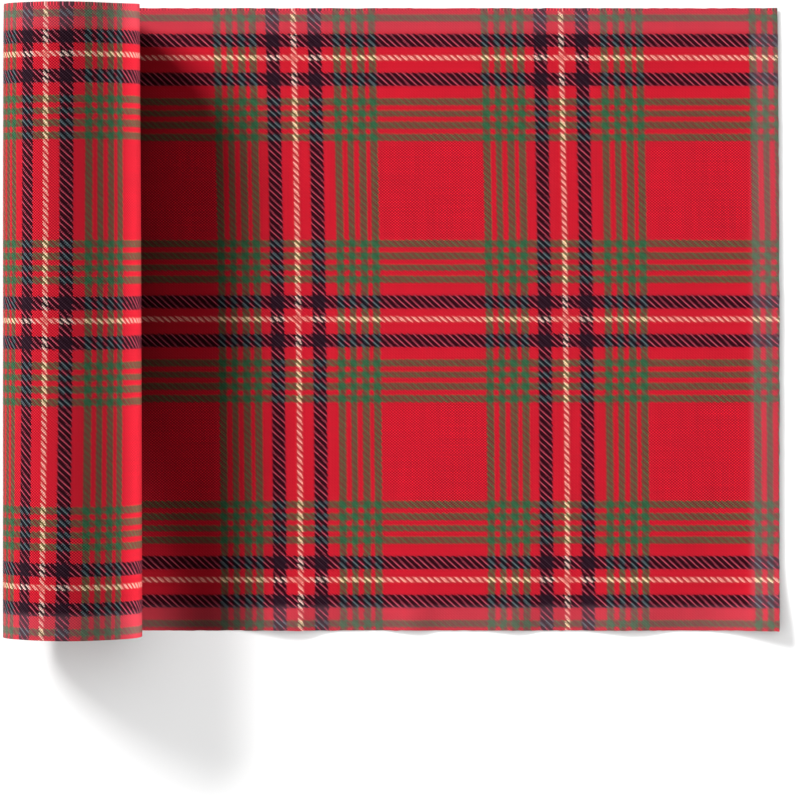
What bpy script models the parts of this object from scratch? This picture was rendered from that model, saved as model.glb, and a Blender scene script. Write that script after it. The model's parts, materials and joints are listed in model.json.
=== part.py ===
"""A tartan table runner: part of it still wound on its cardboard core, the rest laid out flat.

Metres, +Z up. The runner is laid out along X, and the roll's axis lies along Y. The origin is on the
table, under the middle of the whole outline.
"""

import math

import bmesh
import bpy

# Driving dimensions
RUNNER_WIDTH = 0.320  # the cloth from one long edge to the other, along Y
LAID_LENGTH = 0.362  # from the line where the roll touches down to the free end
CLOTH_THICKNESS = 0.00045
ROLL_RADIUS = 0.035  # from the roll's axis to the outside of the outermost turn
CORE_LENGTH = 0.320
CORE_OUTER_RADIUS = 0.020
CORE_WALL = 0.002
TAPE_WIDTH = 0.025  # round the core
TAPE_LENGTH = 0.300  # along the core
TAPE_THICKNESS = 0.00015
CLEARANCE = 0.0003  # between pieces that touch
ROUND_STEPS = 64  # flats round a full circle

# Places that follow from them
ROLL_AXIS_X = (ROLL_RADIUS - LAID_LENGTH) / 2
ROLL_AXIS_Z = ROLL_RADIUS
FREE_END_X = ROLL_AXIS_X + LAID_LENGTH
CORE_INNER_RADIUS = CORE_OUTER_RADIUS - CORE_WALL
TAPE_INNER_RADIUS = CORE_OUTER_RADIUS + CLEARANCE
TAPE_OUTER_RADIUS = TAPE_INNER_RADIUS + TAPE_THICKNESS
WOUND_INNER_RADIUS = TAPE_OUTER_RADIUS + CLEARANCE
TAKE_OFF_INNER_RADIUS = ROLL_RADIUS - CLOTH_THICKNESS
WOUND_OUTER_RADIUS = TAKE_OFF_INNER_RADIUS - CLEARANCE

# The cloth leaves the table where its rising underside clears the cloth that still lies flat.
TAKE_OFF_START = math.acos(1 - (CLOTH_THICKNESS + CLEARANCE) / ROLL_RADIUS)
TAKE_OFF_END = math.pi / 2
TAKE_OFF_X = ROLL_AXIS_X - ROLL_RADIUS * math.sin(TAKE_OFF_START)


def clear_scene():
    """Start from an empty scene, whatever it held."""
    for obj in list(bpy.data.objects):
        bpy.data.objects.remove(obj, do_unlink=True)


def finish_material(name, colour, roughness):
    """One plain Principled material."""
    material = bpy.data.materials.new(name)
    material.use_nodes = True
    shader = material.node_tree.nodes["Principled BSDF"]
    shader.inputs["Base Color"].default_value = (*colour, 1.0)
    shader.inputs["Roughness"].default_value = roughness
    shader.inputs["Metallic"].default_value = 0.0
    return material


def add_piece(name, shape, material, parent=None, smooth=True):
    """Turn a bmesh into a named object, with sharp edges kept where the surface turns a corner."""
    mesh = bpy.data.meshes.new(name)
    shape.to_mesh(mesh)
    shape.free()
    mesh.materials.append(material)
    if smooth:
        mesh.shade_smooth()
        mesh.set_sharp_from_angle(angle=math.radians(30))
    piece = bpy.data.objects.new(name, mesh)
    bpy.context.scene.collection.objects.link(piece)
    piece.parent = parent
    return piece


def add_axis(name, location, parent=None):
    """An empty on a joint's axis, which carries the pieces that move with it."""
    empty = bpy.data.objects.new(name, None)
    empty.empty_display_type = "ARROWS"
    empty.empty_display_size = ROLL_RADIUS / 2
    empty.location = location
    empty.parent = parent
    bpy.context.scene.collection.objects.link(empty)
    return empty


def arc_points(radius, start, end, steps):
    """Points round the roll's axis. The angle runs from straight down, up the back of the roll (-X)."""
    return [
        (
            -radius * math.sin(start + (end - start) * step / steps),
            -radius * math.cos(start + (end - start) * step / steps),
        )
        for step in range(steps + 1)
    ]


def tube(inner_radius, outer_radius, length):
    """A tube along Y, centred on the roll's axis."""
    shape = bmesh.new()
    rings = []
    for radius, y in (
        (outer_radius, -length / 2),
        (outer_radius, length / 2),
        (inner_radius, length / 2),
        (inner_radius, -length / 2),
    ):
        points = arc_points(radius, 0, 2 * math.pi, ROUND_STEPS)[:-1]
        rings.append([shape.verts.new((x, y, z)) for x, z in points])
    for ring, following in zip(rings, rings[1:] + rings[:1]):
        for step in range(ROUND_STEPS):
            after = (step + 1) % ROUND_STEPS
            shape.faces.new((ring[step], ring[after], following[after], following[step]))
    bmesh.ops.recalc_face_normals(shape, faces=shape.faces)
    return shape


def curved_strip(inner_radius, outer_radius, start, end, length):
    """A thin strip bent round the roll's axis, running along Y."""
    steps = max(2, math.ceil(ROUND_STEPS * (end - start) / (2 * math.pi)))
    outline = arc_points(outer_radius, start, end, steps)
    outline += reversed(arc_points(inner_radius, start, end, steps))
    shape = bmesh.new()
    near = [shape.verts.new((x, -length / 2, z)) for x, z in outline]
    far = [shape.verts.new((x, length / 2, z)) for x, z in outline]
    count = len(outline)
    for step in range(count):
        after = (step + 1) % count
        shape.faces.new((near[step], near[after], far[after], far[step]))
    for step in range(steps):
        opposite = count - 1 - step
        shape.faces.new((near[step], near[step + 1], near[opposite - 1], near[opposite]))
        shape.faces.new((far[step], far[step + 1], far[opposite - 1], far[opposite]))
    bmesh.ops.recalc_face_normals(shape, faces=shape.faces)
    return shape


def add_laid_cloth(material):
    """The stretch that lies flat on the table, from under the roll to the free end."""
    length = FREE_END_X - TAKE_OFF_X
    shape = bmesh.new()
    bmesh.ops.create_cube(shape, size=1)
    bmesh.ops.scale(shape, verts=shape.verts, vec=(length, RUNNER_WIDTH, CLOTH_THICKNESS))
    middle = ((FREE_END_X + TAKE_OFF_X) / 2, 0, CLOTH_THICKNESS / 2)
    bmesh.ops.translate(shape, verts=shape.verts, vec=middle)
    return add_piece("laid_cloth", shape, material, smooth=False)


def add_take_off_cloth(material, travel_axis):
    """The quarter turn of cloth that rises off the table round the back of the roll."""
    shape = curved_strip(
        TAKE_OFF_INNER_RADIUS, ROLL_RADIUS, TAKE_OFF_START, TAKE_OFF_END, RUNNER_WIDTH
    )
    return add_piece("take_off_cloth", shape, material, travel_axis)


def add_wound_cloth(material, turn_axis):
    """Every turn still wound on the core, as one thick tube."""
    shape = tube(WOUND_INNER_RADIUS, WOUND_OUTER_RADIUS, RUNNER_WIDTH)
    return add_piece("wound_cloth", shape, material, turn_axis)


def add_core_tube(material, turn_axis):
    """The spiral-wound cardboard tube in the middle, open from end to end."""
    shape = tube(CORE_INNER_RADIUS, CORE_OUTER_RADIUS, CORE_LENGTH)
    return add_piece("core_tube", shape, material, turn_axis)


def add_start_tape(material, turn_axis):
    """The double-sided tape along the core that holds the cloth's first edge."""
    half_angle = TAPE_WIDTH / (2 * TAPE_INNER_RADIUS)
    shape = curved_strip(
        TAPE_INNER_RADIUS, TAPE_OUTER_RADIUS, -half_angle, half_angle, TAPE_LENGTH
    )
    return add_piece("start_tape", shape, material, turn_axis)


clear_scene()

tartan_cotton = finish_material("tartan_cotton", (0.62, 0.014, 0.031), 0.85)
tartan_rising = finish_material("tartan_cotton_rising", (0.62, 0.014, 0.031), 0.85)
tartan_wound = finish_material("tartan_cotton_wound", (0.58, 0.012, 0.028), 0.85)
kraft_board = finish_material("kraft_board", (0.42, 0.27, 0.15), 0.80)
tape_film = finish_material("tape_film", (0.85, 0.83, 0.76), 0.35)

roll_travel = add_axis("roll_travel_axis", (ROLL_AXIS_X, 0, ROLL_AXIS_Z))
roll_turn = add_axis("roll_turn_axis", (0, 0, 0), roll_travel)

add_laid_cloth(tartan_cotton)
add_take_off_cloth(tartan_rising, roll_travel)
add_wound_cloth(tartan_wound, roll_turn)
add_core_tube(kraft_board, roll_turn)
add_start_tape(tape_film, roll_turn)
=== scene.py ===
"""The look of a tartan table runner, part wound on its cardboard core and part laid out on a table."""

import json
import math

import bpy
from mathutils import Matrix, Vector, noise


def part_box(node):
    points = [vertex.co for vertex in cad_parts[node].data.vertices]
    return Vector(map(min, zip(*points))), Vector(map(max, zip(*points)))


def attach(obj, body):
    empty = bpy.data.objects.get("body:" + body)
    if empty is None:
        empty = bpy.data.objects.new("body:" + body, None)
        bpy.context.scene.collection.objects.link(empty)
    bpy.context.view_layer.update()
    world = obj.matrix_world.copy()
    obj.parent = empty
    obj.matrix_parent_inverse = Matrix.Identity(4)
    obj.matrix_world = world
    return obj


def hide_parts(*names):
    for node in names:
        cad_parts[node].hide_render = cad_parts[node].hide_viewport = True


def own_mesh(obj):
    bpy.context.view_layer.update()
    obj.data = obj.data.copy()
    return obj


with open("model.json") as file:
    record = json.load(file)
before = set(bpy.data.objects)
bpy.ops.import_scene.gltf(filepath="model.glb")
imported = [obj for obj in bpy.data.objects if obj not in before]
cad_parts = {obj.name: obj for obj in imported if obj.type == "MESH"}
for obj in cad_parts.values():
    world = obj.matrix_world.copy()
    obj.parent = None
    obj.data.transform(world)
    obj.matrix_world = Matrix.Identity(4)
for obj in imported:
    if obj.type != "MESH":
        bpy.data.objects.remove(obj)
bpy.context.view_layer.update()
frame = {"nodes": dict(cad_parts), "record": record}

# ---------------------------------------------------------------------------------------------------
# The camera stands almost straight above and a long way off, so the runner is seen nearly flat. It is
# a little nearer the runner's back edge and leans forward by a few degrees.
# ---------------------------------------------------------------------------------------------------
CAMERA_HEIGHT = 2.95
CAMERA_BACK = 0.0431
VIEW_MIDDLE = Vector((0.0030, -0.0410, 0.0))
VIEW_WIDTH = 0.4116
SENSOR_WIDTH = 36.0
NEAREST, FARTHEST = 0.1, 20

camera_data = bpy.data.cameras.new("camera")
camera = bpy.data.objects.new("camera", camera_data)
bpy.context.scene.collection.objects.link(camera)
camera.location = (VIEW_MIDDLE.x, CAMERA_BACK, CAMERA_HEIGHT)
sight = VIEW_MIDDLE - camera.location
camera.rotation_euler = (math.atan2(sight.y, -sight.z), 0, 0)
camera_data.sensor_width = SENSOR_WIDTH
camera_data.lens = SENSOR_WIDTH * sight.length / VIEW_WIDTH
camera_data.clip_start = NEAREST
camera_data.clip_end = FARTHEST
bpy.context.scene.camera = camera
bpy.context.scene.view_settings.view_transform = "Standard"

# ---------------------------------------------------------------------------------------------------
# The studio: a white table, one soft key light over the back left corner, a weak low light from the
# left, a narrow strip lamp level with the roll's flank on the right, and an even pale surround.
# ---------------------------------------------------------------------------------------------------
KEY_DIRECTION = Vector((-1.088, 1.170, 0.94))
KEY_DISTANCE = 10.0
KEY_SIZE = (3.6, 1.8)
KEY_WATTS = 1700
LEFT_DIRECTION = Vector((-1, 0, 0.035))
LEFT_DISTANCE = 1.8
LEFT_SIZE = (0.50, 0.06)
LEFT_WATTS = 10
STRIP_PLACE = Vector((0.30, 0, 0.0500))
STRIP_SIZE = (0.36, 0.004)
STRIP_SPREAD = math.radians(7)
STRIP_WATTS = 0.075
TABLE_LAMP_HEIGHT = 3.2
TABLE_LAMP_SIZE = (5.0, 5.0)
TABLE_LAMP_WATTS = 183
TABLE_WHITE = 0.62
SURROUND = 0.21


def add_area_light(name, direction, distance, size, watts):
    """A soft lamp that faces the middle of the runner."""
    data = bpy.data.lights.new(name, "AREA")
    data.shape = "RECTANGLE"
    data.size, data.size_y = size
    data.energy = watts
    light = bpy.data.objects.new(name, data)
    bpy.context.scene.collection.objects.link(light)
    light.location = direction.normalized() * distance
    light.rotation_euler = (-direction).to_track_quat("-Z", "Y").to_euler()
    return light


add_area_light("key_light", KEY_DIRECTION, KEY_DISTANCE, KEY_SIZE, KEY_WATTS)
add_area_light("left_light", LEFT_DIRECTION, LEFT_DISTANCE, LEFT_SIZE, LEFT_WATTS)
strip_lamp = add_area_light("strip_lamp", Vector((1, 0, 0)), STRIP_PLACE.x, STRIP_SIZE, STRIP_WATTS)
strip_lamp.location = STRIP_PLACE
strip_lamp.data.spread = STRIP_SPREAD
strip_lamp.visible_camera = False
table_lamp = add_area_light(
    "table_lamp", Vector((0, 0, 1)), TABLE_LAMP_HEIGHT, TABLE_LAMP_SIZE, TABLE_LAMP_WATTS
)

world = bpy.data.worlds.new("studio")
world.use_nodes = True
world.node_tree.nodes["Background"].inputs["Color"].default_value = (1, 1, 1, 1)
world.node_tree.nodes["Background"].inputs["Strength"].default_value = SURROUND
bpy.context.scene.world = world


def new_material(name):
    """An empty node material with its Principled shader, and the tree they are in."""
    material = bpy.data.materials.new(name)
    material.use_nodes = True
    return material, material.node_tree, material.node_tree.nodes["Principled BSDF"]


table_material, table_tree, table_shader = new_material("white_table")
table_shader.inputs["Base Color"].default_value = (TABLE_WHITE, TABLE_WHITE, TABLE_WHITE, 1)
table_shader.inputs["Roughness"].default_value = 0.9
table_shader.inputs["Specular IOR Level"].default_value = 0.1
table_mesh = bpy.data.meshes.new("table_top")
TABLE_HALF = 4.0
TABLE_GAP = 0.0001  # keeps the table just clear of the cloth that lies on it
table_corners = [
    (-TABLE_HALF, -TABLE_HALF, -TABLE_GAP),
    (TABLE_HALF, -TABLE_HALF, -TABLE_GAP),
    (TABLE_HALF, TABLE_HALF, -TABLE_GAP),
    (-TABLE_HALF, TABLE_HALF, -TABLE_GAP),
]
table_mesh.from_pydata(table_corners, [], [(0, 1, 2, 3)])
table_mesh.materials.append(table_material)
table_top = bpy.data.objects.new("table_top", table_mesh)
bpy.context.scene.collection.objects.link(table_top)

# The table lamp lights the table alone, so the table is white without washing out the cloth.
lit_by_table_lamp = bpy.data.collections.new("lit_by_table_lamp")
lit_by_table_lamp.objects.link(table_top)
table_lamp.light_linking.receiver_collection = lit_by_table_lamp

# ---------------------------------------------------------------------------------------------------
# The cloth: a plain-woven cotton of coarse thread that carries a tartan. Its stripes show the diagonal
# of a twill and cross the cloth both ways, so one recipe colours every piece of it. Every cut edge is
# sealed against fraying, which leaves a paler band along it.
# ---------------------------------------------------------------------------------------------------
# One repeat of the sett each way, and its stripes measured from the light line in its middle.
REPEAT_ALONG = 0.1374
REPEAT_ACROSS = 0.1342
FIRST_SET_ALONG = 0.11405  # from the roll's axis to the first light line on the laid cloth
SET_ACROSS = -0.0009  # from the middle of the cloth to the light line there
DARK_AT_ALONG = 0.01073
DARK_AT_ACROSS = 0.0101
DARK_WIDTH = 0.0067
LIGHT_WIDTH_ALONG = 0.0032
LIGHT_WIDTH_ACROSS = 0.0030
GREEN_FIRST = 0.0214
GREEN_STEP = 0.0061
GREEN_WIDTH = 0.0036
GREEN_COUNT = 4
GREEN_SHIFT_ALONG = 0.0006
LIGHT_SHIFT_ACROSS = 0.00108
TWILL_ALONG = 0.00356  # from one diagonal of the twill to the next, each way
TWILL_ACROSS = 0.00345
THREAD_ALONG = 0.00080  # from one thread to the next, each way
THREAD_ACROSS = 0.00069
DYE_DEPTH = 0.86
EDGE_BITE = 0.0008  # how far a diagonal's two sides end apart, at a stripe's edge
THREAD_BITE = 0.0004  # how far a raised thread carries a stripe's edge
SKEW = 0.0125  # how far the laid cloth's weft leans, for each metre across
BOW = 0.030  # and how far it bows, for each square metre
RAGGED_GRAIN = 700.0  # noise cells in a metre
RAGGED_TWILL = 0.30  # how far the diagonals' edges wander, in twill steps
RAGGED_THREAD = 0.10  # and how far each raised thread shifts them
WANDER_GRAIN = 90.0
WANDER = 0.0005
TWILL_FADE = 0.12  # how far a diagonal's edge takes to fade, in half twill steps
THREAD_BREAK = 0.15  # how much a raised thread widens a diagonal
GREEN_BREAK = 0.55  # and how much more where a green line crosses the ground
BOARD_GAIN = 1.1  # how sharply raised threads are set off from sunk ones
SLUB_DEPTH = 0.36  # how much the colour changes from thread to thread
# painted shade in the hollows between threads
HOLLOW_PAINTED_SHADE = 0.05
CLOUD_GRAIN = 22.0
CLOUD_DEPTH = 0.14  # and how much over a hand's breadth
THREAD_LIGHT = 0.97
THREAD_PAINTED_CONTRAST = 0.62  # painted highlight and shade: how much lighter a raised thread is painted than a sunk one
SLUB_LENGTH = 1 / 30  # how far along a thread its colour changes
FUZZ_AND_HIGHLIGHT = 0.030  # how much pale lint and painted highlight shows on a raised thread
DARK_FUZZ_AND_HIGHLIGHT = 0.008
GROUND, GREEN, DARK, LIGHT = 0, 1, 2, 3
KINDS = 4
SAME_KIND = 0.4  # two kinds' numbers are the same when they are closer than this


def dye(red, green, blue):
    """A colour given as screen values from 0 to 255, as the linear values that shaders take."""
    shares = [value / 255 for value in (red, green, blue)]
    return tuple(s / 12.92 if s <= 0.04045 else ((s + 0.055) / 1.055) ** 2.4 for s in shares)


# The colour of the pale lint and the painted highlight on raised threads.
FUZZ_AND_HIGHLIGHT_COLOUR = dye(250, 226, 232)

# What each pair of crossing stripes shows: the colour of the broad dashes, the colour of the thin
# diagonals between them, and the share of the twill that those diagonals take.
CROSSINGS = {
    (GROUND, GROUND): (dye(217, 4, 38), dye(210, 0, 34), 0.30),
    (GREEN, GROUND): (dye(100, 106, 66), dye(122, 40, 38), 0.42),
    (GREEN, GREEN): (dye(34, 96, 58), dye(52, 116, 78), 0.30),
    (DARK, GROUND): (dye(50, 0, 16), dye(192, 76, 98), 0.21),
    (DARK, GREEN): (dye(20, 17, 28), dye(88, 104, 110), 0.36),
    (DARK, DARK): (dye(38, 12, 28), dye(58, 34, 48), 0.20),
    (LIGHT, GROUND): (dye(255, 168, 154), dye(204, 12, 36), 0.42),
    (LIGHT, GREEN): (dye(248, 222, 176), dye(104, 88, 38), 0.42),
    (LIGHT, DARK): (dye(244, 204, 192), dye(20, 3, 9), 0.50),
    (LIGHT, LIGHT): (dye(238, 122, 112), dye(214, 90, 82), 0.30),
}


def sett_stops(repeat, dark_at, light_width, light_shift, green_shift):
    """Where each stripe of one repeat starts and what it is, from 0 to 1 with the set in the middle."""
    stripes = [(light_shift, light_width, LIGHT)]
    for side in (-1, 1):
        stripes.append((side * dark_at, DARK_WIDTH, DARK))
        for line in range(GREEN_COUNT):
            middle = side * (GREEN_FIRST + line * GREEN_STEP) + green_shift
            stripes.append((middle, GREEN_WIDTH, GREEN))
    stops = [(0.0, GROUND)]
    for middle, width, kind in sorted(stripes):
        stops.append((0.5 + (middle - width / 2) / repeat, kind))
        stops.append((0.5 + (middle + width / 2) / repeat, GROUND))
    return stops


class Nodes:
    """Short calls for the shader nodes of one tree."""

    def __init__(self, tree):
        self.tree = tree

    def add(self, kind, **settings):
        made = self.tree.nodes.new(kind)
        for name, value in settings.items():
            setattr(made, name, value)
        return made

    def link(self, source, target):
        if isinstance(source, (int, float)):
            target.default_value = source
        else:
            self.tree.links.new(source, target)

    def math(self, operation, *values, clamp=False):
        made = self.add("ShaderNodeMath", operation=operation, use_clamp=clamp)
        for socket, value in zip(made.inputs, values):
            self.link(value, socket)
        return made.outputs[0]

    def steps(self, position, stops):
        """A stepped ramp: at each stop the colour changes at once."""
        made = self.add("ShaderNodeValToRGB")
        ramp = made.color_ramp
        ramp.interpolation = "CONSTANT"
        ramp.elements.remove(ramp.elements[1])
        ramp.elements[0].position = stops[0][0]
        for at, _ in stops[1:]:
            ramp.elements.new(at)
        for element, (_, colour) in zip(ramp.elements, stops):
            element.color = (*colour, 1) if isinstance(colour, tuple) else (colour, colour, colour, 1)
        self.link(position, made.inputs["Fac"])
        return made.outputs["Color"]

    def mix(self, factor, first, second, blend="MIX"):
        made = self.add("ShaderNodeMix", data_type="RGBA", blend_type=blend)
        self.link(factor, made.inputs["Factor"])
        for socket, value in ((made.inputs["A"], first), (made.inputs["B"], second)):
            if isinstance(value, tuple):
                socket.default_value = (*value, 1)
            else:
                self.tree.links.new(value, socket)
        return made.outputs["Result"]

    def soft_step(self, value, low, high):
        made = self.add("ShaderNodeMapRange", interpolation_type="SMOOTHSTEP")
        self.link(value, made.inputs["Value"])
        self.link(low, made.inputs["From Min"])
        self.link(high, made.inputs["From Max"])
        return made.outputs["Result"]

    def noise(self, vector, scale, detail=2.0):
        made = self.add("ShaderNodeTexNoise")
        made.inputs["Scale"].default_value = scale
        made.inputs["Detail"].default_value = detail
        self.tree.links.new(vector, made.inputs["Vector"])
        return made.outputs["Fac"]

    def place(self, x, y, z=0.0):
        made = self.add("ShaderNodeCombineXYZ")
        for socket, value in zip(made.inputs, (x, y, z)):
            self.link(value, socket)
        return made.outputs[0]


def tartan_group():
    """The cloth's colour and the height of its weave, from a place along and across it in metres."""
    tree = bpy.data.node_groups.new("tartan", "ShaderNodeTree")
    for name in ("Along", "Across"):
        tree.interface.new_socket(name, in_out="INPUT", socket_type="NodeSocketFloat")
    tree.interface.new_socket("Color", in_out="OUTPUT", socket_type="NodeSocketColor")
    tree.interface.new_socket("Height", in_out="OUTPUT", socket_type="NodeSocketFloat")
    nodes = Nodes(tree)
    given = nodes.add("NodeGroupInput")
    made = nodes.add("NodeGroupOutput")
    along, across = given.outputs["Along"], given.outputs["Across"]
    place = nodes.place(along, across)

    # Plain weave: warp on top in one square of the board, weft in the next.
    warp = nodes.math("SINE", nodes.math("MULTIPLY", along, math.pi / THREAD_ALONG))
    weft = nodes.math("SINE", nodes.math("MULTIPLY", across, math.pi / THREAD_ACROSS))
    board = nodes.math("MULTIPLY", warp, weft)
    board_size = nodes.math("ABSOLUTE", board)
    up_down = nodes.math("MULTIPLY_ADD", board, BOARD_GAIN, 0.5, clamp=True)
    crown = nodes.math("POWER", board_size, 0.5)

    # The twill's diagonal, with edges that the coarse thread makes a little ragged.
    twill_along = nodes.math("DIVIDE", along, TWILL_ALONG)
    twill_across = nodes.math("DIVIDE", across, TWILL_ACROSS)
    diagonal = nodes.math("ADD", twill_along, twill_across)
    ragged = nodes.math("MULTIPLY_ADD", nodes.noise(place, RAGGED_GRAIN), RAGGED_TWILL, diagonal)
    ragged = nodes.math("MULTIPLY_ADD", board, RAGGED_THREAD, ragged)
    phase = nodes.math("FRACT", ragged)
    inside = nodes.math("ABSOLUTE", nodes.math("MULTIPLY_ADD", phase, 2.0, -1.0))

    # The threads wander a little, and each dash of the twill ends at its own thread, so no stripe is
    # ruler straight.
    wander = nodes.math("SUBTRACT", nodes.noise(place, WANDER_GRAIN), 0.5)
    bite = nodes.math("MULTIPLY", nodes.math("SUBTRACT", phase, 0.5), EDGE_BITE)
    bite = nodes.math("MULTIPLY_ADD", board, THREAD_BITE, bite)
    bite = nodes.math("MULTIPLY_ADD", wander, WANDER, bite)
    along_off = nodes.math("ADD", along, bite)
    across_off = nodes.math("ADD", across, bite)

    def kind_at(position, repeat, *stripes):
        turns = nodes.math("ADD", nodes.math("DIVIDE", position, repeat), 0.5)
        share = nodes.math("FRACT", turns)
        stops = [(at, kind / LIGHT) for at, kind in sett_stops(repeat, *stripes)]
        return nodes.math("ROUND", nodes.math("MULTIPLY", nodes.steps(share, stops), LIGHT))

    sett_along = (DARK_AT_ALONG, LIGHT_WIDTH_ALONG, 0, GREEN_SHIFT_ALONG)
    sett_across = (DARK_AT_ACROSS, LIGHT_WIDTH_ACROSS, LIGHT_SHIFT_ACROSS, 0)
    kind_along = kind_at(along_off, REPEAT_ALONG, *sett_along)
    kind_across = kind_at(across_off, REPEAT_ACROSS, *sett_across)

    # Each pair of kinds has one number, whichever of the two runs which way.
    upper = nodes.math("MAXIMUM", kind_along, kind_across)
    lower = nodes.math("MINIMUM", kind_along, kind_across)
    triangle = nodes.math("MULTIPLY", nodes.math("MULTIPLY_ADD", upper, upper, upper), 0.5)
    pair = nodes.math("ADD", triangle, lower)
    pair_count = KINDS * (KINDS + 1) // 2
    chosen = nodes.math("DIVIDE", nodes.math("ADD", pair, 0.5), pair_count)
    ordered = [CROSSINGS[(high, low)] for high in range(KINDS) for low in range(high + 1)]
    dash_stops = [(number / pair_count, dash) for number, (dash, _, _) in enumerate(ordered)]
    line_stops = [(number / pair_count, line) for number, (_, line, _) in enumerate(ordered)]
    share_stops = [(number / pair_count, share) for number, (_, _, share) in enumerate(ordered)]
    dash_colour = nodes.steps(chosen, dash_stops)
    line_colour = nodes.steps(chosen, line_stops)
    line_share = nodes.steps(chosen, share_stops)

    # The green lines are fine enough to break up thread by thread as well.
    edge = nodes.math("SUBTRACT", 1.0, line_share)
    green_on_ground = GREEN * (GREEN + 1) / 2 + GROUND
    is_green = nodes.math("COMPARE", pair, green_on_ground, SAME_KIND)
    breakup = nodes.math("MULTIPLY_ADD", is_green, GREEN_BREAK, THREAD_BREAK)
    frayed = nodes.math("MULTIPLY_ADD", board, breakup, inside)
    fade_start = nodes.math("SUBTRACT", edge, TWILL_FADE)
    fade_end = nodes.math("ADD", edge, TWILL_FADE)
    is_line = nodes.soft_step(frayed, fade_start, fade_end)
    colour = nodes.mix(is_line, dash_colour, line_colour)

    # Each thread took the dye differently. The crowns of the threads are painted lighter and the hollows
    # between them darker, which is painted shade.
    warp_number = nodes.math("DIVIDE", along, THREAD_ALONG)
    weft_number = nodes.math("DIVIDE", across, THREAD_ACROSS)
    warp_place = nodes.place(warp_number, nodes.math("DIVIDE", across, SLUB_LENGTH))
    weft_place = nodes.place(nodes.math("DIVIDE", along, SLUB_LENGTH), weft_number, 7.0)
    warp_slub = nodes.math("SUBTRACT", nodes.noise(warp_place, 1.0, 1.0), 0.5)
    weft_slub = nodes.math("SUBTRACT", nodes.noise(weft_place, 1.0, 1.0), 0.5)
    slub = nodes.math("ADD", warp_slub, weft_slub)
    cloud = nodes.math("SUBTRACT", nodes.noise(place, CLOUD_GRAIN, 3.0), 0.5)
    light = nodes.math("MULTIPLY_ADD", slub, SLUB_DEPTH, THREAD_LIGHT)
    # painted shade: lighter on the thread crowns, darker in the hollows
    light = nodes.math("MULTIPLY_ADD", crown, HOLLOW_PAINTED_SHADE, light)
    light = nodes.math("MULTIPLY_ADD", cloud, CLOUD_DEPTH, light)
    light = nodes.math("MULTIPLY", light, DYE_DEPTH)
    # Painted highlight on the raised threads and painted shade on the sunk ones.
    raised_painted_light = nodes.math("MULTIPLY_ADD", up_down, THREAD_PAINTED_CONTRAST * 2, 1 - THREAD_PAINTED_CONTRAST)
    light = nodes.math("MULTIPLY", light, raised_painted_light)
    shaded = nodes.mix(1.0, colour, nodes.place(light, light, light), "MULTIPLY")
    # Pale lint and a painted highlight on the raised threads, weaker on the dark stripes.
    is_dark = nodes.math("COMPARE", upper, DARK, SAME_KIND)
    most_fuzz_and_highlight = nodes.math("MULTIPLY_ADD", is_dark, DARK_FUZZ_AND_HIGHLIGHT - FUZZ_AND_HIGHLIGHT, FUZZ_AND_HIGHLIGHT)
    fuzz_and_highlight = nodes.math("MULTIPLY", up_down, most_fuzz_and_highlight)
    shaded = nodes.mix(fuzz_and_highlight, shaded, FUZZ_AND_HIGHLIGHT_COLOUR)
    tree.links.new(shaded, made.inputs["Color"])
    height = nodes.math("MULTIPLY_ADD", slub, 0.5, crown)
    height = nodes.math("MULTIPLY_ADD", board, 0.5, height)
    tree.links.new(height, made.inputs["Height"])
    return tree


TARTAN = tartan_group()
half_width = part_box("laid_cloth")[1][1]
WEAVE_DEPTH = 0.00009
WEAVE_STRENGTH = 0.7
CLOTH_ROUGHNESS = 0.88
BAND_SMOOTHER = 0.10
LAST_RED = 0.1588  # the back edge is cut in the red just short of a green line
BAND_ENDS = 0.0150  # the sealed band along the free end
BAND_SIDES = 0.0125  # and along both long edges
BAND_FADE = 0.0020  # how far the band takes to fade into the cloth, to each side of its edge
BAND_WHITE = 0.076
LINT_COLOUR = (0.90, 0.50, 0.52)
BAND_COLOUR = (0.88, 0.44, 0.56)


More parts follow.
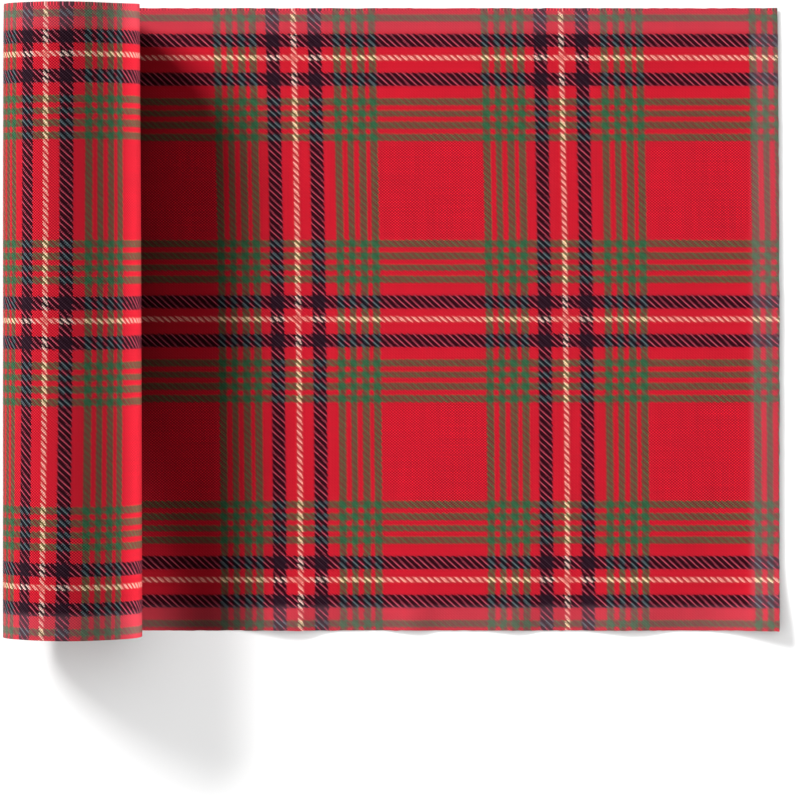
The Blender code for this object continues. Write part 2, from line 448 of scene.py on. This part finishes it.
def tartan_material(name, set_along, from_layout, end_at=None, darker=1.0, lint=0.0):
    """Tartan cotton, read by place along and across the cloth.

    from_layout takes the place from the map of the flat strip instead of the object's own space.
    """
    material, tree, shader = new_material(name)
    nodes = Nodes(tree)
    if from_layout:
        source = nodes.add("ShaderNodeUVMap", uv_map="flat_strip").outputs["UV"]
    else:
        source = nodes.add("ShaderNodeTexCoord").outputs["Object"]
    parts = nodes.add("ShaderNodeSeparateXYZ")
    tree.links.new(source, parts.inputs[0])
    along, across = parts.outputs["X"], parts.outputs["Y"]
    cloth = nodes.add("ShaderNodeGroup", node_tree=TARTAN)
    skewed = nodes.math("SUBTRACT", along, set_along)
    if not from_layout:
        skewed = nodes.math("MULTIPLY_ADD", across, SKEW, skewed)
        skewed = nodes.math("MULTIPLY_ADD", nodes.math("MULTIPLY", across, across), BOW, skewed)
    nodes.link(skewed, cloth.inputs["Along"])
    to_last_red = nodes.math("MINIMUM", across, LAST_RED)
    nodes.link(nodes.math("SUBTRACT", to_last_red, SET_ACROSS), cloth.inputs["Across"])

    # The sealed band: the sealer dries milky and a little smoother than the cloth.
    from_side = nodes.math("SUBTRACT", half_width, nodes.math("ABSOLUTE", across))
    inner = nodes.soft_step(from_side, BAND_SIDES - BAND_FADE, BAND_SIDES + BAND_FADE)
    band = nodes.math("SUBTRACT", 1.0, inner)
    if end_at is not None:
        from_end = nodes.math("SUBTRACT", end_at, along)
        inner = nodes.soft_step(from_end, BAND_ENDS - BAND_FADE, BAND_ENDS + BAND_FADE)
        band = nodes.math("MAXIMUM", band, nodes.math("SUBTRACT", 1.0, inner))
    milky = nodes.math("MULTIPLY", band, BAND_WHITE)
    colour = nodes.mix(milky, cloth.outputs["Color"], BAND_COLOUR)
    if lint:
        colour = nodes.mix(lint, colour, LINT_COLOUR)
    if darker != 1.0:
        colour = nodes.mix(1.0, colour, (darker, darker, darker), "MULTIPLY")
    tree.links.new(colour, shader.inputs["Base Color"])
    roughness = nodes.math("MULTIPLY_ADD", band, -BAND_SMOOTHER, CLOTH_ROUGHNESS)
    tree.links.new(roughness, shader.inputs["Roughness"])
    shader.inputs["Specular IOR Level"].default_value = 0.03
    shader.inputs["Sheen Weight"].default_value = 0.03
    shader.inputs["Sheen Roughness"].default_value = 0.45
    bump = nodes.add("ShaderNodeBump")
    bump.inputs["Strength"].default_value = WEAVE_STRENGTH
    bump.inputs["Distance"].default_value = WEAVE_DEPTH
    tree.links.new(cloth.outputs["Height"], bump.inputs["Height"])
    tree.links.new(bump.outputs["Normal"], shader.inputs["Normal"])
    return material


# ---------------------------------------------------------------------------------------------------
# The core: a cardboard tube wound from strips of kraft board on a slant and glued, cut square at
# both ends. The cloth's first edge is taped along it.
# ---------------------------------------------------------------------------------------------------
all_joints = frame["record"]["behaviour"]["joints"]
turn_joint = next(joint for joint in all_joints if joint["type"] == "hinge")
axis_x, _, axis_z = turn_joint["pos_m"]
core_low, core_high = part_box("core_tube")
core_half = core_high[1]
core_radius = (core_high[2] - core_low[2]) / 2
CORE_WALL = 0.0020
CORE_STEPS = 128
CORE_ROWS = 64
CORE_CHAMFER = 0.0003
PLY_LEAD = 0.075  # how far a strip climbs in one turn
PLY_STEP = 0.00012
FIBRE_GRAIN = 900.0
FIBRE_DEPTH = 0.0001
BLOTCH_GRAIN = 60.0
CORE_SHARP = math.radians(35)


def add_piece(name, points, faces, material, layout=None):
    """A mesh object, with the place of each of its points on the flat strip when it is cloth."""
    mesh = bpy.data.meshes.new(name)
    mesh.from_pydata(points, [], faces)
    mesh.materials.append(material)
    if layout:
        uv = mesh.uv_layers.new(name="flat_strip")
        for loop in mesh.loops:
            uv.data[loop.index].uv = layout[loop.vertex_index]
    mesh.shade_smooth()
    piece = bpy.data.objects.new(name, mesh)
    bpy.context.scene.collection.objects.link(piece)
    return piece


def around(angle, radius, y):
    """A point at an angle round the roll's axis, from straight down and up the side away from the cloth."""
    return (axis_x - radius * math.sin(angle), y, axis_z - radius * math.cos(angle))


def grid_faces(rows, columns, closed=False):
    """The quads between neighbouring points of a grid, rows by columns."""
    faces = []
    for row in range(rows - 1):
        this, above = row * columns, (row + 1) * columns
        for column in range(columns if closed else columns - 1):
            following = (column + 1) % columns
            faces.append((this + column, this + following, above + following, above + column))
    return faces


board_material, board_tree, board_shader = new_material("kraft_board")
board = Nodes(board_tree)
board_place = board.add("ShaderNodeTexCoord").outputs["Object"]
fibres = board.noise(board_place, FIBRE_GRAIN, 4.0)
blotches = board.noise(board_place, BLOTCH_GRAIN, 3.0)
board_colour = board.mix(fibres, dye(150, 116, 82), dye(196, 164, 126))
board_colour = board.mix(board.math("MULTIPLY", blotches, 0.5), board_colour, dye(140, 108, 78))
board_tree.links.new(board_colour, board_shader.inputs["Base Color"])
board_shader.inputs["Roughness"].default_value = 0.85
board_bump = board.add("ShaderNodeBump")
board_bump.inputs["Strength"].default_value = 0.5
board_bump.inputs["Distance"].default_value = FIBRE_DEPTH
board_tree.links.new(fibres, board_bump.inputs["Height"])
board_tree.links.new(board_bump.outputs["Normal"], board_shader.inputs["Normal"])

core_rows = [(core_half - CORE_CHAMFER) * (2 * row / CORE_ROWS - 1) for row in range(CORE_ROWS + 1)]
bore_radius = core_radius - CORE_WALL
core_profile = [(core_radius, y) for y in core_rows]
core_profile += [(core_radius - CORE_CHAMFER, core_half), (bore_radius + CORE_CHAMFER, core_half)]
core_profile += [(bore_radius, y) for y in reversed(core_rows)]
core_profile += [(bore_radius + CORE_CHAMFER, -core_half), (core_radius - CORE_CHAMFER, -core_half)]


def core_point(step, radius, y):
    """The strips' slanting joints leave a shallow step round the tube, inside and out."""
    angle = 2 * math.pi * step / CORE_STEPS
    climb = (y / PLY_LEAD - step / CORE_STEPS) % 1.0
    if abs(y) > core_half - CORE_CHAMFER * 2:
        return around(angle, radius, y)
    outward = 1 if radius < core_radius - CORE_WALL / 2 else -1
    return around(angle, radius + outward * PLY_STEP * (1 - climb), y)


core_points = [core_point(step, radius, y) for radius, y in core_profile for step in range(CORE_STEPS)]
core_faces = grid_faces(len(core_profile), CORE_STEPS, closed=True)
last_ring = (len(core_profile) - 1) * CORE_STEPS
core_faces += [
    (last_ring + step, last_ring + (step + 1) % CORE_STEPS, (step + 1) % CORE_STEPS, step)
    for step in range(CORE_STEPS)
]
core_piece = add_piece("core_board", core_points, core_faces, board_material)
core_piece.data.set_sharp_from_angle(angle=CORE_SHARP)
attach(core_piece, "roll")
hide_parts("core_tube")

# ---------------------------------------------------------------------------------------------------
# The tape: a strip of double-sided film along the core, under the first turn of cloth. The solid of
# the frame has its true shape, so it only gets its finish.
# ---------------------------------------------------------------------------------------------------
tape_material, tape_tree, tape_shader = new_material("tape_film")
tape = Nodes(tape_tree)
TAPE_GRAIN = 180.0
tape_place = tape.add("ShaderNodeTexCoord").outputs["Object"]
tape_cloud = tape.noise(tape_place, TAPE_GRAIN, 3.0)
tape_colour = tape.mix(tape_cloud, dye(222, 216, 198), dye(240, 236, 224))
tape_tree.links.new(tape_colour, tape_shader.inputs["Base Color"])
tape_shader.inputs["Roughness"].default_value = 0.38
for tape_slot in frame["nodes"]["start_tape"].material_slots:
    tape_slot.material = tape_material

# ---------------------------------------------------------------------------------------------------
# The turns on the core: one long strip of the cloth, wound under light tension. Each turn lies on the
# one below, and at the ends of the roll the cut edges stand in a slightly uneven spiral.
# ---------------------------------------------------------------------------------------------------
roll_radius = axis_z  # the roll stands on the table
CLOTH_THICKNESS = 0.00040
TURN_PITCH = 0.00045
TAKE_OFF_ANGLE = math.radians(20)
OUTER_TURN_END = 2 * math.pi + math.radians(30)
SEAM = 0.0001  # left open between the take-off and the outer turn, so a whole turn brings them clear
CORE_CLEARANCE = 0.0005
INNER_STEP = math.radians(5)
OUTER_STEP = math.radians(2)
OUTER_ROWS = 128
EDGE_WANDER = 0.00045  # how far the turns' cut edges stand out or in
SOFT_DENT = 0.00018
FRONT_SLACK = 0.0011  # how much looser the turns are wound at the front end
LOOSE_FROM = math.radians(60)  # the turn it takes past the table to come fully loose
TELESCOPE = 0.0006  # how far the outer turn stands past the others at each end
DRIFT_SKEW = 0.0084
DRIFT_BOW = 0.032
ROLL_PAINTED_SHADE = 0.67  # painted shade: the cloth on the roll is the laid cloth's colour darkened, so the roll reads darker than the flat cloth
# Painted shade: the cut edges of the wound turns are darkened further, as shade between the turns.
ROLL_EDGE_PAINTED_SHADE = 0.55
ROLL_SET_ARC = -0.0123  # from the top of the roll to the middle of the set on its outer turn


def winding_radius(angle):
    """The outside of the spiral at an angle from the line where the cloth leaves the table."""
    return roll_radius - TURN_PITCH * angle / (2 * math.pi)


def strip_length(angle):
    """The length of cloth wound from the take-off line to an angle."""
    return roll_radius * angle - TURN_PITCH * angle * angle / (4 * math.pi)


def looseness(angle, y):
    """How far the soft outer turns stand off a true round: nothing where they press on the table."""
    bumps = SOFT_DENT * noise.noise(Vector((math.sin(angle) * 1.6, math.cos(angle) * 1.6, y * 14)))
    to_front = max(0.0, (half_width - y) / (2 * half_width))
    from_table = abs((angle + math.pi) % (2 * math.pi) - math.pi)
    free = min(1.0, max(0.0, (from_table - TAKE_OFF_ANGLE) / LOOSE_FROM))
    free = free * free * (3 - 2 * free)
    return (bumps + FRONT_SLACK * math.sqrt(to_front)) * free


def crisp_rim(piece, rows, columns):
    """Flat shading along a grid's edge, so that the thin rim doesn't darken the cloth beside it."""
    for face in piece.data.polygons:
        row, column = divmod(face.index, columns - 1)
        if row in (0, rows - 2) or column in (0, columns - 2):
            face.use_smooth = False


def thicken(piece):
    """Gives a sheet the cloth's thickness, with its cut edge as the second material."""
    thick = piece.modifiers.new("thickness", "SOLIDIFY")
    thick.thickness = CLOTH_THICKNESS
    thick.offset = 1
    thick.material_offset_rim = 1


def wound_strip(name, start, end, step, row_places, material, cut_material):
    """The stretch of cloth wound between two angles."""
    columns = max(2, math.ceil((end - start) / step)) + 1
    points, layout = [], []
    outer = 1 if end <= OUTER_TURN_END else 0
    for place in row_places:
        for column in range(columns):
            angle = start + (end - start) * column / (columns - 1)
            radius = winding_radius(angle) - CLOTH_THICKNESS
            fade = max(0.0, (radius - core_radius) / (roll_radius - core_radius))
            edge = EDGE_WANDER * noise.noise(Vector((angle * 0.9, 3.1 + 5 * (place > 0), 0.0)))
            y = place * (half_width + TELESCOPE * outer) + edge * abs(place) ** 12
            points.append(around(angle, radius + looseness(angle, y) * fade, y))
            drift = -DRIFT_SKEW * y + DRIFT_BOW * y * y
            layout.append((strip_length(angle) + drift, y))
    faces = [tuple(reversed(face)) for face in grid_faces(len(row_places), columns)]
    piece = add_piece(name, points, faces, material, layout)
    crisp_rim(piece, len(row_places), columns)
    piece.data.materials.append(cut_material)
    thicken(piece)
    return piece


# On the outer turn the set's light line lies just behind the top of the roll.
roll_set = strip_length(math.pi) + ROLL_SET_ARC
# The wound cloth carries painted shade: its colour is darkened against the laid cloth's.
roll_cloth = tartan_material("tartan_cotton_wound", roll_set, True, darker=ROLL_PAINTED_SHADE)
# The wound cut edges carry painted shade.
roll_cut_edge = tartan_material("tartan_cut_edge_wound", roll_set, True, darker=ROLL_EDGE_PAINTED_SHADE)

wound_depth = roll_radius - core_radius - CORE_CLEARANCE - CLOTH_THICKNESS
core_side_angle = 2 * math.pi * wound_depth / TURN_PITCH
inner_rows = [-1.0, -0.985, -0.95, 0.0, 0.95, 0.985, 1.0]
wound_turns = wound_strip(
    "wound_turns", OUTER_TURN_END, core_side_angle, INNER_STEP, inner_rows, roll_cloth, roll_cut_edge
)
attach(wound_turns, "roll")

outer_rows = [-1 + 2 * row / (OUTER_ROWS - 1) for row in range(OUTER_ROWS)]
outer_start = TAKE_OFF_ANGLE + SEAM / roll_radius
outer_turn = wound_strip(
    "outer_turn", outer_start, OUTER_TURN_END, OUTER_STEP, outer_rows, roll_cloth, roll_cut_edge
)
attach(outer_turn, "roll")
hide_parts("wound_cloth")

# ---------------------------------------------------------------------------------------------------
# The take-off: the narrow stretch where the cloth rises off the table onto the roll. It keeps this
# shape wherever the roll is, so it travels with the axis.
# ---------------------------------------------------------------------------------------------------
TAKE_OFF_STEPS = 10
take_off_points, take_off_layout = [], []
for place in outer_rows:
    for column in range(TAKE_OFF_STEPS + 1):
        rise = TAKE_OFF_ANGLE * column / TAKE_OFF_STEPS
        take_off_points.append(around(rise, winding_radius(rise) - CLOTH_THICKNESS, place * half_width))
        take_off_layout.append((strip_length(rise), place * half_width))
take_off_faces = [tuple(reversed(face)) for face in grid_faces(len(outer_rows), TAKE_OFF_STEPS + 1)]
take_off = add_piece("take_off_line", take_off_points, take_off_faces, roll_cloth, take_off_layout)
take_off.data.materials.append(roll_cut_edge)
thicken(take_off)
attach(take_off, "take_off")
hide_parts("take_off_cloth")

# ---------------------------------------------------------------------------------------------------
# The laid cloth: the stretch that lies flat on the table. It was cut, not hemmed, and it has been
# wound up, so its edges lift here and there in long low waves and the free corner curls.
# ---------------------------------------------------------------------------------------------------
free_end_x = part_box("laid_cloth")[1][0]
laid_length = free_end_x - axis_x
GRID = 0.0025
END_TRIM = 0.0016  # how much shorter the cloth is at its back corner
# Each lifted stretch of the front edge: where its middle is along the cloth, half its length, height.
FRONT_LIFTS = (
    (0.1090, 0.0260, 0.0034),
    (0.1730, 0.0160, 0.0018),
    (0.2250, 0.0160, 0.0015),
    (0.2850, 0.0270, 0.0022),
    (0.3640, 0.0420, 0.0048),
)
LIFT_DEPTH = 0.030  # how far in from the edge a lift dies away
END_LIFT = 0.0022
RIPPLE = 0.0004
RAGGED_CUT = 0.0003  # how far the cut edge strays from a straight line
LINT_SHARE = 0.5  # how much of the cut edge is pale lint


def lift(x, y):
    """How high the cloth's underside stands off the table."""
    from_axis = x - axis_x
    height = 0.0
    for middle, half_length, rise in FRONT_LIFTS:
        reach = abs(from_axis - middle) / half_length
        if reach < 1:
            inward = (y + half_width) / LIFT_DEPTH
            height += rise * math.cos(reach * math.pi / 2) ** 2 * math.exp(-inward * inward * 2)
    from_end = (free_end_x - x) / LIFT_DEPTH
    height += END_LIFT * math.exp(-from_end * from_end * 4) * (0.75 - 0.25 * y / half_width)
    settled = min(1.0, max(0.0, (from_axis - 0.01) / 0.08))
    height += RIPPLE * settled * (0.5 + noise.noise(Vector((x * 18, y * 22, 1.7))))
    return max(0.0, height)


laid_columns = round(laid_length / GRID) + 1
laid_rows = round(2 * half_width / GRID) + 1
laid_points = []
for row in range(laid_rows):
    for column in range(laid_columns):
        y = -half_width + 2 * half_width * row / (laid_rows - 1)
        trim = END_TRIM * ((y + half_width) / (2 * half_width)) ** 3
        x = axis_x + (laid_length - trim) * column / (laid_columns - 1)
        ragged = RAGGED_CUT * noise.noise(Vector((column * 0.83, row * 0.83, 4.4)))
        if row in (0, laid_rows - 1):
            y += ragged
        if column == laid_columns - 1:
            x += ragged - RAGGED_CUT
        laid_points.append((x, y, lift(x, y)))
laid_set = axis_x + FIRST_SET_ALONG
laid_cloth = tartan_material("tartan_cotton", laid_set, False, end_at=free_end_x)
laid_cut_edge = tartan_material("tartan_cut_edge", laid_set, False, lint=LINT_SHARE)
laid_runner = add_piece("laid_runner", laid_points, grid_faces(laid_rows, laid_columns), laid_cloth)
crisp_rim(laid_runner, laid_rows, laid_columns)
laid_runner.data.materials.append(laid_cut_edge)
thicken(laid_runner)
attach(laid_runner, "laid_run")
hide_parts("laid_cloth")

# A small low lamp in front, on this stretch alone, brightens the cloth along the foot of the roll.
FOOT_PLACE = Vector((-0.100, -0.352, 0.075))
FOOT_AIM = Vector((-0.136, -0.145, 0.0))
FOOT_WATTS = 2.4
FOOT_SPREAD = math.radians(16)
foot_data = bpy.data.lights.new("foot_lamp", "SPOT")
foot_data.energy = FOOT_WATTS
foot_data.spot_size = FOOT_SPREAD
foot_data.spot_blend = 1.0
foot_data.shadow_soft_size = 0.01
foot_lamp = bpy.data.objects.new("foot_lamp", foot_data)
bpy.context.scene.collection.objects.link(foot_lamp)
foot_lamp.location = FOOT_PLACE
foot_lamp.rotation_euler = (FOOT_AIM - FOOT_PLACE).to_track_quat("-Z", "Y").to_euler()
lit_by_foot_lamp = bpy.data.collections.new("lit_by_foot_lamp")
lit_by_foot_lamp.objects.link(laid_runner)
foot_lamp.light_linking.receiver_collection = lit_by_foot_lamp

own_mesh(laid_runner)
